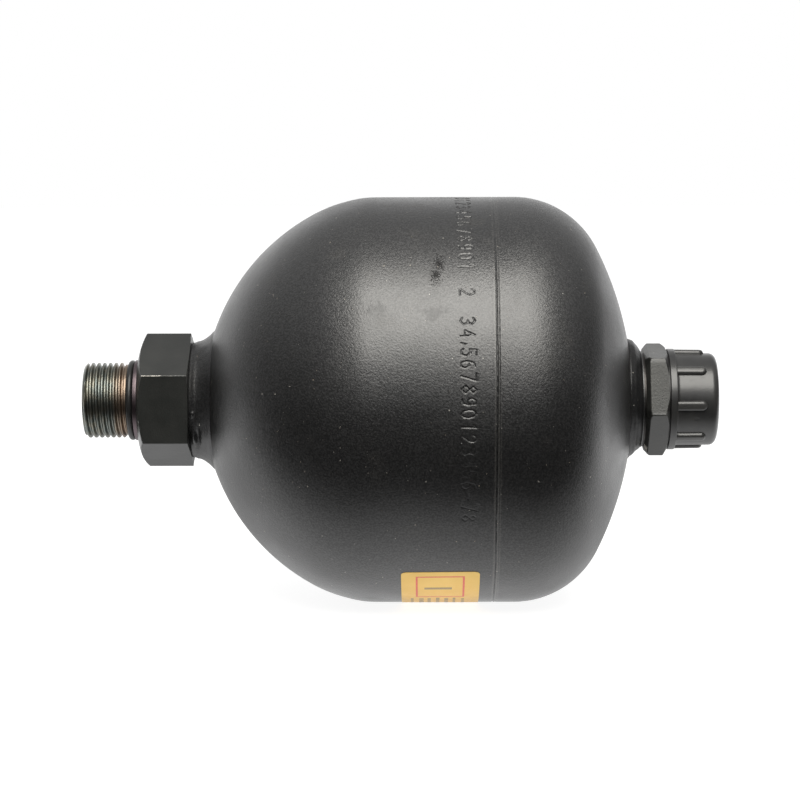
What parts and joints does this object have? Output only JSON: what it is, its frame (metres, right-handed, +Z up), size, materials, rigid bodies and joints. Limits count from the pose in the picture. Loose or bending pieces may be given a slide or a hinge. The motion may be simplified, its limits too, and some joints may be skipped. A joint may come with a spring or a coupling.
{
  "type": "bladder accumulator",
  "caption": "Round-ended steel gas and oil accumulator with a threaded hexagon fluid port at one end and a capped gas charging valve at the other.",
  "frame": {"origin": "on the vessel's axis, in the mouth of the fluid port", "axes": "+X along the vessel from the fluid port to the gas valve, +Z up with the vessel lying on its side"},
  "size_m": [0.2257, 0.145, 0.1452],
  "materials": {
    "body_paint": "satin black paint with a fine grain on steel",
    "stud_steel": "blackened steel hexagon, bare turned thread and collar",
    "seal_rubber": "smooth black rubber",
    "seal_metal": "plain dull metal ring",
    "valve_steel": "blackened steel with a rough front face",
    "screw_steel": "plain machined steel",
    "cap_plastic": "satin moulded black plastic",
    "bladder_rubber": "smooth black rubber",
    "label_film": "smooth yellow printed film"
  },
  "bodies": {
    "vessel": {"fluid_side_shell": "body_paint", "gas_side_shell": "body_paint", "girth_weld": "body_paint", "fluid_port_stud": "stud_steel", "fluid_port_o_ring": "seal_rubber", "fluid_port_weld": "body_paint", "gas_port_boss": "body_paint", "gas_port_weld": "body_paint", "gas_valve_seal": "seal_metal", "gas_valve_body": "valve_steel", "charging_screw": "screw_steel", "charging_screw_seal": "seal_rubber", "bladder_clamp_ring": "screw_steel", "bladder": "bladder_rubber", "label": "label_film"},
    "button": {"bladder_button": "screw_steel"},
    "gasket": {"cap_gasket": "seal_rubber"},
    "cap": {"protective_cap": "cap_plastic"}
  },
  "joints": [
    {"name": "button_travel", "type": "slide", "parent": "vessel", "child": "button", "axis": [1, 0, 0], "range_m": [0, 0.06], "stiffness_N_per_m": 300, "deforming": ["bladder"]},
    {"name": "cap_travel", "type": "slide", "parent": "vessel", "child": "gasket", "axis": [1, 0, 0], "range_m": [0, 0.0105]},
    {"name": "cap_turn", "type": "hinge", "parent": "gasket", "child": "cap", "pos_m": [0.2084, 0, 0], "axis": [1, 0, 0], "range_deg": [0, 2520]}
  ],
  "couplings": [
    {"joint": "cap_travel", "follows": "cap_turn", "m_per_rad": 0.00023873}
  ]
}
